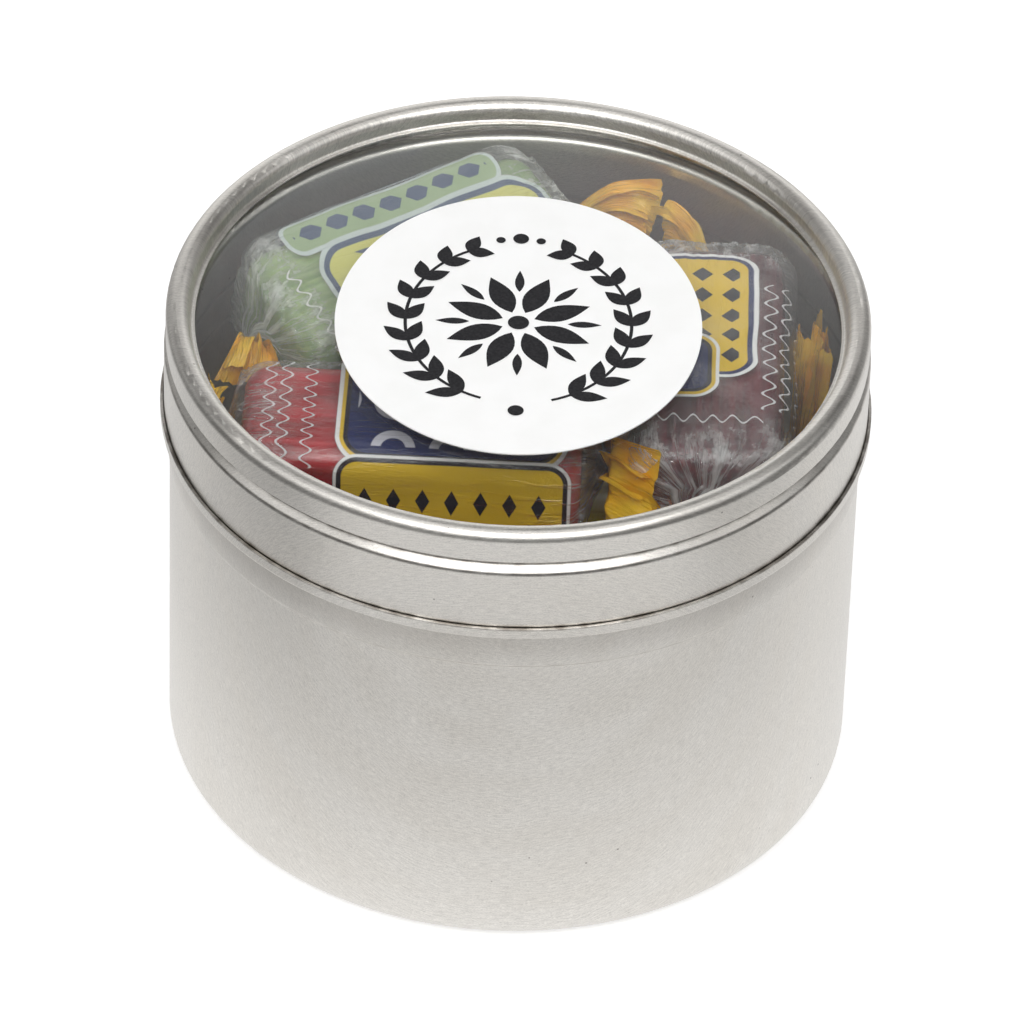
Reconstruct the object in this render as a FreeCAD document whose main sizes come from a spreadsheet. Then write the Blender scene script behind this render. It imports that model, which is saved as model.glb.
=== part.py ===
"""Round window-lid tin with its wrapped sweets.

A seamless drawn tin body takes a slip-on lid.  The lid is a pressed metal ring whose rolled
groove holds a clear window, and a paper label is stuck on the window.  The tin is packed
with twist-wrapped hard sweets in three layers.

Frame: +Z up, origin at the centre of the base, +X to the right, +Y to the back.  Millimetres.
"""

import FreeCAD
import Part
import Sketcher

import math
import os

doc = FreeCAD.newDocument("WindowLidTin")

# Driving dimensions

SIZES = [
    ("gauge", 0.25, "tinplate thickness of body and lid"),
    ("body_diameter", 65.2, "outside of the body wall"),
    ("body_height", 46.1, "base to the top of the mouth curl"),
    ("base_corner", 2.0, "outer radius of the drawn corner"),
    ("base_recess", 0.5, "how far the base panel is set up"),
    ("base_ring", 4.0, "width of the ring that the tin stands on"),
    ("land_step", 0.2, "how far the lid's friction land stands proud of the wall"),
    ("land_depth", 11.7, "mouth down to the lower edge of the friction land"),
    ("curl_width", 1.6, "width of the rolled-in mouth curl"),
    ("curl_round", 0.75, "corner radius of the mouth curl"),
    ("curl_drop", 1.4, "length of the mouth curl's inner leg"),
    ("lid_fit", 0.1, "radial clearance between land and lid skirt"),
    ("seat_gap", 0.05, "clearance between the mouth curl and the lid's shoulder"),
    ("skirt_depth", 7.55, "lid shoulder down to the lower edge of the hem"),
    ("hem_height", 1.25, "height of the folded hem"),
    ("hem_gap", 0.1, "gap between skirt and folded hem"),
    ("groove_depth", 0.6, "depth of the rolled groove under the rim band"),
    ("rim_inset", 0.15, "how far the rim band is set in from the skirt"),
    ("rim_rise", 3.75, "groove up to the crest of the rim"),
    ("rim_round", 1.0, "outer radius of the rim's crest"),
    ("rim_slope", 78.0, "slope of the rim's inner flank, in degrees"),
    ("ledge_drop", 1.7, "crest down to the ledge over the window"),
    ("rim_width", 2.35, "rim band in to the foot of the inner flank"),
    ("ledge_width", 0.4, "width of the ledge over the window"),
    ("edge_round", 0.3, "bend radius on the inside of a pressed corner"),
    ("window_thickness", 0.5, "clear window panel"),
    ("window_skirt", 0.6, "wall of the window's turned-down skirt"),
    ("window_fit", 0.05, "clearance of the window in the lid"),
    ("label_width", 34.4, "label across"),
    ("label_length", 38.3, "label front to back"),
    ("label_thickness", 0.12, "paper label"),
    ("suits_diameter", 65.2, "diameter of the tin that the sweets below are packed for"),
    ("suits_height", 46.1, "height of the tin that the sweets below are packed for"),
    ("sweet_length", 32.0, "hard sweet, long way"),
    ("sweet_width", 14.4, "hard sweet across"),
    ("sweet_thickness", 10.6, "hard sweet, flat way"),
    ("sweet_round", 2.6, "edge radius of the hard sweet"),
    ("film_slack", 0.75, "how far the wrapper stands off the sweet"),
    ("film_gap", 0.08, "clearance between sweet and wrapper"),
    ("stack_gap", 0.1, "gap between sweets that lie on each other"),
    ("neck_radius", 1.3, "twisted neck of the wrapper"),
    ("neck_length", 1.2, "neck between the wrapper's end and its tail"),
    ("tail_width", 8.6, "flared tail of the wrapper"),
    ("tail_thickness", 1.6, "bunched thickness of the flared tail"),
    ("tail_length", 5.2, "flared tail beyond the neck"),
]

sheet = doc.addObject("Spreadsheet::Sheet", "sizes")
for row, (alias, value, meaning) in enumerate(SIZES, start=1):
    sheet.set(f"A{row}", meaning)
    sheet.set(f"B{row}", str(value))
    sheet.setAlias(f"B{row}", alias)
doc.recompute()


def size(expression):
    """Value of an expression over the sheet, in millimetres."""
    value = sheet.evalExpression(expression)
    return float(getattr(value, "Value", value))


# Radii and heights that several pieces share, as expressions over the sheet

BODY_R = "sizes.body_diameter / 2"
WALL_IN = f"{BODY_R} - sizes.gauge"
LAND_R = f"{BODY_R} + sizes.land_step"
LAND_Z = "sizes.body_height - sizes.land_depth"
MOUTH_R = f"{LAND_R} - sizes.curl_width"
PANEL_R = f"{BODY_R} - sizes.base_corner - sizes.base_ring"
FLOOR_Z = "sizes.base_recess + sizes.gauge"

SKIRT_IN = f"{LAND_R} + sizes.lid_fit"
SKIRT_OUT = f"{SKIRT_IN} + sizes.gauge"
HEM_IN = f"{SKIRT_OUT} + sizes.hem_gap"
HEM_OUT = f"{HEM_IN} + sizes.gauge"
RIM_R = f"{SKIRT_OUT} - sizes.rim_inset"
GROOVE_R = f"{RIM_R} - sizes.groove_depth"
# The lid's 45 degree shoulder rests on the outer round of the mouth curl.
CURL_X = f"({LAND_R} - sizes.curl_round)"
CURL_Z = "(sizes.body_height - sizes.curl_round)"
SHOULDER_IN_Z = f"{CURL_Z} + (sizes.curl_round + sizes.seat_gap) * sqrt(2) - ({SKIRT_IN} - {CURL_X})"
SHOULDER_Z = f"{SHOULDER_IN_Z} + sizes.gauge * (sqrt(2) - 1)"
HEM_Z = f"{SHOULDER_Z} - sizes.skirt_depth"
GROOVE_Z = f"{SHOULDER_Z} + ({SKIRT_OUT} - ({GROOVE_R}))"
GROOVE_IN = f"{GROOVE_R} - sizes.gauge * sqrt(2)"
LID_TOP = f"{GROOVE_Z} + sizes.rim_rise"
LEDGE_Z = f"{LID_TOP} - sizes.ledge_drop"
LEDGE_R = f"{RIM_R} - sizes.rim_width"
FLANK_RUN = "1 / tan(sizes.rim_slope * 1 deg)"
FLANK_SHIFT = "sizes.gauge / sin(sizes.rim_slope * 1 deg)"

WINDOW_TOP = f"{LEDGE_Z} - sizes.gauge"
WINDOW_R = f"{RIM_R} - sizes.gauge - sizes.window_fit"

# A smaller tin is packed with smaller sweets, in the same layers.
PACK = "min(sizes.body_diameter / sizes.suits_diameter; sizes.body_height / sizes.suits_height)"


# Helpers for the turned pieces


def cross(a, b):
    return a[0] * b[1] - a[1] * b[0]


def rounded_profile(body, name, corners):
    """Closed sketch in the XZ plane through corners (radius, height, rounding).

    Every entry is an expression over the sheet, or None for a sharp corner.  Each corner is a
    construction point bound to the sheet; the edges pass through the points, and an arc of the
    given radius is tangent to the two edges that meet at a rounded corner.
    """
    sketch = body.newObject("Sketcher::SketchObject", name)
    plane = next(o for o in body.Origin.OriginFeatures if o.Role == "XZ_Plane")
    sketch.AttachmentSupport = (plane, "")
    sketch.MapMode = "FlatFace"
    points = [FreeCAD.Vector(size(r), size(z), 0) for r, z, _ in corners]
    count = len(points)
    ends = []
    for i, (_, _, rounding) in enumerate(corners):
        before = (points[i - 1] - points[i]).normalize()
        after = (points[(i + 1) % count] - points[i]).normalize()
        if rounding is None:
            ends.append((points[i], points[i], None))
            continue
        half = before.getAngle(after) / 2
        reach = size(rounding) / math.tan(half)
        middle = points[i] + (before + after).normalize() * (size(rounding) / math.sin(half))
        ends.append((points[i] + before * reach, points[i] + after * reach, middle))

    lines = []
    for i in range(count):
        start, finish = ends[i][1], ends[(i + 1) % count][0]
        lines.append(sketch.addGeometry(Part.LineSegment(start, finish)))
    for i, (radius, height, rounding) in enumerate(corners):
        into, out_of = lines[i - 1], lines[i]
        mark = sketch.addGeometry(Part.Point(points[i]), True)
        for kind, expression in (("DistanceX", radius), ("DistanceY", height)):
            here = size(expression)
            number = sketch.addConstraint(Sketcher.Constraint(kind, -1, 1, mark, 1, here))
            sketch.setExpression(f"Constraints[{number}]", expression)
        if rounding is None:
            sketch.addConstraint(Sketcher.Constraint("Coincident", into, 2, mark, 1))
            sketch.addConstraint(Sketcher.Constraint("Coincident", out_of, 1, mark, 1))
            continue
        start, finish, middle = ends[i]
        way_in, way_out = start - middle, finish - middle
        angles = [math.atan2(v.y, v.x) for v in (way_in, way_out)]
        clockwise = cross(way_in, way_out) < 0
        if clockwise:
            angles.reverse()
        circle = Part.Circle(middle, FreeCAD.Vector(0, 0, 1), size(rounding))
        arc = sketch.addGeometry(Part.ArcOfCircle(circle, *angles))
        first, last = (2, 1) if clockwise else (1, 2)
        sketch.addConstraint(Sketcher.Constraint("PointOnObject", mark, 1, into))
        sketch.addConstraint(Sketcher.Constraint("PointOnObject", mark, 1, out_of))
        sketch.addConstraint(Sketcher.Constraint("Tangent", into, 2, arc, first))
        sketch.addConstraint(Sketcher.Constraint("Tangent", out_of, 1, arc, last))
        number = sketch.addConstraint(Sketcher.Constraint("Radius", arc, size(rounding)))
        sketch.setExpression(f"Constraints[{number}]", rounding)
    return sketch


def turned(label, corners):
    """A body turned from one rounded profile about the tin's axis."""
    body = doc.addObject("PartDesign::Body", label)
    body.Label = label
    sketch = rounded_profile(body, f"{label}_profile", corners)
    doc.recompute()
    turn = body.newObject("PartDesign::Revolution", f"{label}_turn")
    turn.Profile = sketch
    turn.ReferenceAxis = (sketch, ["V_Axis"])
    turn.Angle = 360
    body.Tip = turn
    doc.recompute()
    return body


# Tin body: one drawn shell with a set-up base, a friction land and a rolled-in mouth


def make_tin_body():
    bend = "sizes.edge_round"
    outer_bend = f"{bend} + sizes.gauge"
    step_foot = f"{PANEL_R} + sizes.base_recess"
    bevel = "sizes.gauge * (sqrt(2) - 1)"
    slope_low = f"{LAND_Z} - sizes.land_step"
    curl_inside = "sizes.curl_round - sizes.gauge"
    leg_end = "sizes.body_height - sizes.curl_drop"
    outside = [
        ("0", "sizes.base_recess", None),
        (PANEL_R, "sizes.base_recess", bend),
        (step_foot, "0", outer_bend),
        (BODY_R, "0", "sizes.base_corner"),
        (BODY_R, slope_low, bend),
        (LAND_R, LAND_Z, outer_bend),
        (LAND_R, "sizes.body_height", "sizes.curl_round"),
        (MOUTH_R, "sizes.body_height", "sizes.curl_round"),
        (MOUTH_R, leg_end, None),
    ]
    inside = [
        (f"{MOUTH_R} + sizes.gauge", leg_end, None),
        (f"{MOUTH_R} + sizes.gauge", "sizes.body_height - sizes.gauge", curl_inside),
        (f"{LAND_R} - sizes.gauge", "sizes.body_height - sizes.gauge", curl_inside),
        (f"{LAND_R} - sizes.gauge", f"{LAND_Z} + {bevel}", bend),
        (WALL_IN, f"{slope_low} + {bevel}", outer_bend),
        (WALL_IN, "sizes.gauge", "sizes.base_corner - sizes.gauge"),
        (f"{step_foot} + {bevel}", "sizes.gauge", bend),
        (f"{PANEL_R} + {bevel}", FLOOR_Z, outer_bend),
        ("0", FLOOR_Z, None),
    ]
    return turned("tin_body", outside + inside)


# Lid ring: folded hem, skirt, shoulder, rolled groove, rim and the ledge that holds the window


def make_lid_ring():
    bend = "sizes.edge_round"
    outer_bend = f"{bend} + sizes.gauge"
    fold = "sizes.hem_gap / 2"
    fold_outside = f"({fold} + sizes.gauge) * 0.9"
    tip = "sizes.gauge / 3"
    tip_r = f"{LEDGE_R} - sizes.ledge_width"
    crest_in = f"{LEDGE_R} + sizes.ledge_drop * {FLANK_RUN}"
    under_flank = f"{LEDGE_R} + {FLANK_SHIFT}"
    under_crest = "sizes.rim_round - sizes.gauge"
    fold_z = f"{HEM_Z} + sizes.gauge"
    free_edge = f"{HEM_Z} + sizes.hem_height"
    band_foot = f"{GROOVE_Z} + sizes.groove_depth"
    band_in = f"{RIM_R} - sizes.gauge"
    crest_under_z = f"{LID_TOP} - sizes.gauge"
    outside = [
        (tip_r, LEDGE_Z, tip),
        (LEDGE_R, LEDGE_Z, bend),
        (crest_in, LID_TOP, "sizes.rim_round"),
        (RIM_R, LID_TOP, "sizes.rim_round"),
        (RIM_R, band_foot, "sizes.gauge / 2"),
        (GROOVE_R, GROOVE_Z, "sizes.gauge / 2"),
        (SKIRT_OUT, SHOULDER_Z, outer_bend),
        (SKIRT_OUT, fold_z, f"{fold} * 0.9"),
        (HEM_IN, fold_z, f"{fold} * 0.9"),
        (HEM_IN, free_edge, None),
        (HEM_OUT, free_edge, tip),
        (HEM_OUT, HEM_Z, fold_outside),
    ]
    inside = [
        (SKIRT_IN, HEM_Z, fold_outside),
        (SKIRT_IN, SHOULDER_IN_Z, bend),
        (GROOVE_IN, GROOVE_Z, bend),
        (band_in, f"{GROOVE_Z} + {band_in} - ({GROOVE_IN})", "sizes.gauge / 4"),
        (band_in, crest_under_z, under_crest),
        (f"{under_flank} + (sizes.ledge_drop - sizes.gauge) * {FLANK_RUN}", crest_under_z, under_crest),
        (f"{under_flank} - sizes.gauge * {FLANK_RUN}", WINDOW_TOP, outer_bend),
        (tip_r, WINDOW_TOP, tip),
    ]
    return turned("lid_ring", outside + inside)


# Clear window: a disc with a turned-down skirt that snaps above the lid's groove


def make_lid_window():
    skirt_in = f"{WINDOW_R} - sizes.window_skirt"
    under = f"{WINDOW_TOP} - sizes.window_thickness"
    bead_top = f"{GROOVE_Z} + {RIM_R} - sizes.gauge - ({GROOVE_IN})"
    foot = f"{bead_top} + sizes.window_fit"
    corners = [
        ("0", WINDOW_TOP, None),
        (WINDOW_R, WINDOW_TOP, "sizes.window_thickness / 3"),
        (WINDOW_R, foot, "sizes.window_skirt / 4"),
        (skirt_in, foot, "sizes.window_skirt / 4"),
        (skirt_in, under, "sizes.window_thickness / 3"),
        ("0", under, None),
    ]
    return turned("lid_window", corners)


# Paper label: an oval stuck to the middle of the window


def make_lid_label():
    body = doc.addObject("PartDesign::Body", "lid_label")
    body.Label = "lid_label"
    sketch = body.newObject("Sketcher::SketchObject", "lid_label_outline")
    plane = next(o for o in body.Origin.OriginFeatures if o.Role == "XY_Plane")
    sketch.AttachmentSupport = (plane, "")
    sketch.MapMode = "FlatFace"
    halves = {"label_length": FreeCAD.Vector(0, size("sizes.label_length / 2"), 0),
              "label_width": FreeCAD.Vector(size("sizes.label_width / 2"), 0, 0)}
    short, long = sorted(halves, key=lambda alias: halves[alias].Length)
    oval = sketch.addGeometry(Part.Ellipse(halves[long], halves[short], FreeCAD.Vector(0, 0, 0)))
    sketch.exposeInternalGeometry(oval)
    long_axis, short_axis = oval + 1, oval + 2
    sketch.addConstraint(Sketcher.Constraint("Coincident", oval, 3, -1, 1))
    along = "Vertical" if long == "label_length" else "Horizontal"
    sketch.addConstraint(Sketcher.Constraint(along, long_axis))
    for axis, alias in ((long_axis, long), (short_axis, short)):
        number = sketch.addConstraint(Sketcher.Constraint("Distance", axis, size(f"sizes.{alias}")))
        sketch.setExpression(f"Constraints[{number}]", f"sizes.{alias}")
    doc.recompute()
    pad = body.newObject("PartDesign::Pad", "lid_label_paper")
    pad.Profile = sketch
    pad.setExpression("Length", "sizes.label_thickness")
    body.Tip = pad
    body.setExpression("Placement.Base.z", WINDOW_TOP)
    doc.recompute()
    return body


# Twist-wrapped sweets


def packed(alias):
    """A size of the sweets, in millimetres, for this tin."""
    return size(f"sizes.{alias} * {PACK}")


def make_candy(label, placement):
    """A hard sweet: a block with all its edges rounded, centred on its own origin."""
    body = doc.addObject("PartDesign::Body", label)
    body.Label = label
    block = body.newObject("PartDesign::AdditiveBox", f"{label}_block")
    for prop, alias in (("Length", "sweet_length"), ("Width", "sweet_width"), ("Height", "sweet_thickness")):
        block.setExpression(prop, f"sizes.{alias} * {PACK}")
    for axis, alias in (("x", "sweet_length"), ("y", "sweet_width"), ("z", "sweet_thickness")):
        block.setExpression(f"Placement.Base.{axis}", f"-sizes.{alias} * {PACK} / 2")
    doc.recompute()
    rounds = body.newObject("PartDesign::Fillet", f"{label}_rounds")
    rounds.Base = (block, ["Edge1"])
    rounds.UseAllEdges = True
    rounds.setExpression("Radius", f"sizes.sweet_round * {PACK}")
    body.Tip = rounds
    body.Placement = placement
    doc.recompute()
    return body


def rounded_rectangle(centre, along, up, half_wide, half_high, rounding):
    """Wire of four lines and four quarter arcs in the plane of two unit vectors."""

    def at(a, b):
        return centre + along * a + up * b

    wide, high = half_wide - rounding, half_high - rounding
    slant = rounding * math.sqrt(0.5)
    edges = []
    for x_sign, y_sign in ((1, 1), (-1, 1), (-1, -1), (1, -1)):
        x, y = x_sign * wide, y_sign * high
        side = at(x + x_sign * rounding, y)
        cap = at(x, y + y_sign * rounding)
        corner = at(x + x_sign * slant, y + y_sign * slant)
        first, last = (side, cap) if x_sign == y_sign else (cap, side)
        edges.append(Part.Arc(first, corner, last).toShape())
    wire = []
    for i, arc in enumerate(edges):
        wire.append(arc)
        wire.append(Part.makeLine(arc.lastVertex().Point, edges[(i + 1) % 4].firstVertex().Point))
    return Part.Wire(wire)


def wrapper_end():
    """Distance from the middle of a sweet to the end of its wrapper, before the neck."""
    return packed("sweet_length") / 2 + packed("film_slack") * 1.6


def film_round():
    """Radius of the film's long edges over the block."""
    return packed("sweet_round") * 1.15


def film_pillow():
    """The film drawn round the sweet: full over the block and gathered at both ends."""
    half_wide = packed("sweet_width") / 2 + packed("film_slack")
    half_high = packed("sweet_thickness") / 2 + packed("film_slack")
    half_long = packed("sweet_length") / 2
    rounding = packed("sweet_round")
    end = wrapper_end()
    # Distance from the middle, and share of the full width and height there
    stations = [(half_long - 1.5 * rounding, 1.0), (half_long - 0.75 * rounding, 0.975),
                (half_long - 0.2 * rounding, 0.89), (half_long + 0.15 * rounding, 0.75), (end, 0.42)]
    mirrored = [(-x, share) for x, share in reversed(stations)] + stations
    across, up = FreeCAD.Vector(0, 1, 0), FreeCAD.Vector(0, 0, 1)
    wires = [rounded_rectangle(FreeCAD.Vector(x, 0, 0), across, up, half_wide * share, half_high * share,
                               film_round() * share) for x, share in mirrored]
    return Part.makeLoft(wires, True, True)


def film_tail(side, bends, roll, spread):
    """Twisted neck and flared tail at one end of a wrapper.

    side is +1 or -1 along the sweet.  bends is a list of (yaw, pitch, share of the tail length),
    each heading taken from the sweet's own axis.  roll turns the flat of the tail about its
    path, and spread scales its width.
    """
    neck = packed("neck_radius")
    outward = FreeCAD.Vector(side, 0, 0)
    straight = FreeCAD.Rotation(FreeCAD.Vector(0, 0, 1), 0 if side > 0 else 180)
    end = wrapper_end()
    gather = packed("film_slack") * 0.5
    here = outward * (end + packed("neck_length"))
    route = [(outward * (end - gather), outward, neck * 1.9, neck * 1.6),
             (here, outward, neck, neck)]
    reach = sum(bend[2] for bend in bends)
    done = 0.0
    for i, (yaw, pitch, share) in enumerate(bends):
        turn = FreeCAD.Rotation(yaw, -pitch, 0)
        heading = straight.multVec(turn.multVec(FreeCAD.Vector(1, 0, 0)))
        here = here + heading * (share * packed("tail_length"))
        done += share / reach
        if i + 1 < len(bends):
            after = FreeCAD.Rotation(bends[i + 1][0], -bends[i + 1][1], 0)
            facing = (heading + straight.multVec(after.multVec(FreeCAD.Vector(1, 0, 0)))).normalize()
        else:
            facing = heading
        wide = neck + (packed("tail_width") / 2 * spread - neck) * done
        thick = neck + (packed("tail_thickness") / 2 - neck) * done
        route.append((here, facing, wide, thick))
    wires = []
    for point, facing, wide, thick in route:
        level = FreeCAD.Vector(0, 0, 1).cross(facing).normalize()
        lift = facing.cross(level)
        spin = FreeCAD.Rotation(facing, roll)
        wires.append(rounded_rectangle(point, spin.multVec(level), spin.multVec(lift), wide, thick,
                                       min(wide, thick) * 0.9))
    return Part.makeLoft(wires, True, True)


def make_wrapper(label, placement, tails):
    """The twisted film wrapper of one sweet, hollow where the sweet lies."""
    film = film_pillow()
    for side, tail in zip((-1, 1), tails):
        film = film.fuse(film_tail(side, *tail))
    gap = packed("film_gap")
    hollow = [packed(alias) + 2 * gap for alias in ("sweet_length", "sweet_width", "sweet_thickness")]
    cavity = Part.makeBox(*hollow, FreeCAD.Vector(*[-side / 2 for side in hollow]))
    cavity = cavity.makeFillet(packed("sweet_round") + gap, cavity.Edges)
    film = film.cut(cavity).removeSplitter()
    piece = doc.addObject("Part::Feature", label)
    piece.Label = label
    piece.Shape = film
    piece.Placement = placement
    return piece


def make_sweet(name, place, spin, tails):
    """One sweet in its wrapper: a candy node and a wrapper node at the same place."""
    placement = FreeCAD.Placement(FreeCAD.Vector(*place), spin)
    make_candy(f"{name}_candy", placement)
    make_wrapper(f"{name}_wrapper", placement, tails)


def make_sweets():
    """Two layers of four sweets on edge, crossed, and three sweets that lie flat on top."""
    z_axis = FreeCAD.Vector(0, 0, 1)
    x_axis = FreeCAD.Vector(1, 0, 0)
    gap = packed("stack_gap")
    flat = packed("sweet_thickness") + 2 * packed("film_slack")
    tall = packed("sweet_width") + 2 * packed("film_slack")
    low = size(FLOOR_Z) + gap + tall / 2
    middle = low + tall + gap
    high = middle + tall / 2 + gap + flat / 2
    rows = [(i - 1.5) * (flat + gap) for i in range(4)]
    on_edge = FreeCAD.Rotation(x_axis, 90)
    crossed = FreeCAD.Rotation(z_axis, 90).multiply(on_edge)
    plain = ([(0, 0, 1.0)], 0, 1.0)
    # One tail of the middle layer stands up between the top sweets and the wall.
    standing = ([(25, 0, 1.95), (87, 0, 2.1)], 90, 1.0)

    for name, row in zip(("lime_bottom", "cherry_bottom", "grape_bottom", "amber_bottom"), rows):
        make_sweet(name, (row, 0, low), crossed, (plain, plain))
    for name, row in zip(("orange_middle", "lemon_middle", "honey_middle", "berry_middle"), rows):
        tails = (plain, standing) if name == "honey_middle" else (plain, plain)
        make_sweet(name, (0, row, middle), on_edge, tails)

    # The top sweets lie as they fell: place across and back, turn, lean, and the two tails.
    scale = size(PACK)
    top = [
        ("red_top", -9.6, -8.3, -1.5, 0,
         (([(-86, 0, 1.0)], 90, 0.8), ([(-80, 0, 1.2), (-38, 0, 1.1)], 88, 1.0))),
        ("green_top", -10.1, 15.8, 35, 14,
         (([(55, -20, 1.0)], 8, 0.9), ([(-46, 0, 1.35)], 50, 1.0))),
        ("purple_top", 18.0, 2.6, -90.5, 0,
         (([(50, 0, 1.15)], 60, 0.9), ([(0, -30, 0.8)], 90, 0.8))),
    ]
    for name, across, back, turn, lean, tails in top:
        spin = FreeCAD.Rotation(z_axis, turn).multiply(FreeCAD.Rotation(x_axis, lean))
        sine, cosine = math.sin(math.radians(lean)), math.cos(math.radians(lean))
        corner = film_round()
        lift = (tall / 2 - corner) * sine - (flat / 2 - corner) * (1 - cosine)
        make_sweet(name, (across * scale, back * scale, high + lift), spin, tails)


# Build every piece, check it and write it out

make_tin_body()
make_lid_ring()
make_lid_window()
make_lid_label()
make_sweets()
doc.recompute()

pieces = [o for o in doc.Objects if o.TypeId in ("PartDesign::Body", "Part::Feature")]
for o in doc.Objects:
    if "Invalid" in o.State or "Error" in o.State:
        raise RuntimeError(f"{o.Label} did not build")
os.makedirs("parts", exist_ok=True)
for piece in pieces:
    shape = piece.Shape
    if shape.isNull() or not shape.isValid() or len(shape.Solids) != 1:
        raise RuntimeError(f"{piece.Label} is not one valid solid")
    shape.exportStep(f"parts/{piece.Label}.step")
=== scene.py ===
import bpy
import math
from mathutils import Matrix, Vector, noise


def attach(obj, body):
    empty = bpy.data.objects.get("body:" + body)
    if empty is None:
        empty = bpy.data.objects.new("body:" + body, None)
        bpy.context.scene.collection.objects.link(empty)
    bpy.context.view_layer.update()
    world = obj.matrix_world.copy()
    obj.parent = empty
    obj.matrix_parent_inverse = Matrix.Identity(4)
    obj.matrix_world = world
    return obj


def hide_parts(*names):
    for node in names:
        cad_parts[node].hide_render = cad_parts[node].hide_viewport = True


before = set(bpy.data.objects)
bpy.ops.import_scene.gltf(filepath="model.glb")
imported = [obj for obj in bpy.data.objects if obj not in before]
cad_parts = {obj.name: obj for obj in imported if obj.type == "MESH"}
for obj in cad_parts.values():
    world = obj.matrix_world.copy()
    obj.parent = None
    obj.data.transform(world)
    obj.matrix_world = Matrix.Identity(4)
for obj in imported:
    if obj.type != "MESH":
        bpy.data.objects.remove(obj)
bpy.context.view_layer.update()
MM = 0.001

# Sizes of the tin in millimetres, as the CAD model has them

GAUGE = 0.25
BODY_R = 32.6
LAND_R = 32.8
LAND_Z = 34.4
MOUTH_Z = 46.1
CURL_ROUND = 0.75
SEAT_GAP = 0.05
SKIRT_IN = 32.9
HEM_DROP = 7.55
HEM_FOLD = 1.25
GROOVE_RISE = 0.75
RIM_RISE = 3.75
LEDGE_DROP = 1.7
PAPER = 0.12

CURL_R = LAND_R - CURL_ROUND
CURL_Z = MOUTH_Z - CURL_ROUND
SHOULDER_IN_Z = CURL_Z + (CURL_ROUND + SEAT_GAP) * math.sqrt(2) - (SKIRT_IN - CURL_R)
SHOULDER_Z = SHOULDER_IN_Z + GAUGE * (math.sqrt(2) - 1)
HEM_Z = SHOULDER_Z - HEM_DROP
HEM_TOP = HEM_Z + HEM_FOLD
GROOVE_Z = SHOULDER_Z + GROOVE_RISE
LID_TOP = GROOVE_Z + RIM_RISE
WINDOW_TOP = LID_TOP - LEDGE_DROP - GAUGE
LABEL_TOP = WINDOW_TOP + PAPER

# Sizes of a sweet and its film

HALF_LONG, HALF_WIDE, HALF_HIGH = 32.0 / 2, 14.4 / 2, 10.6 / 2
SWEET_ROUND = 2.6
FILM_SLACK = 0.75
FILM_ROUND = SWEET_ROUND * 1.15
FILM_END = HALF_LONG + 1.6 * FILM_SLACK
FILM_WIDE = HALF_WIDE + FILM_SLACK
FILM_HIGH = HALF_HIGH + FILM_SLACK
NECK_R = 1.3
NECK_LENGTH = 1.2
TAIL_LENGTH = 5.2
TAIL_HALF = 4.3


# Helpers for materials and pieces


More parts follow.
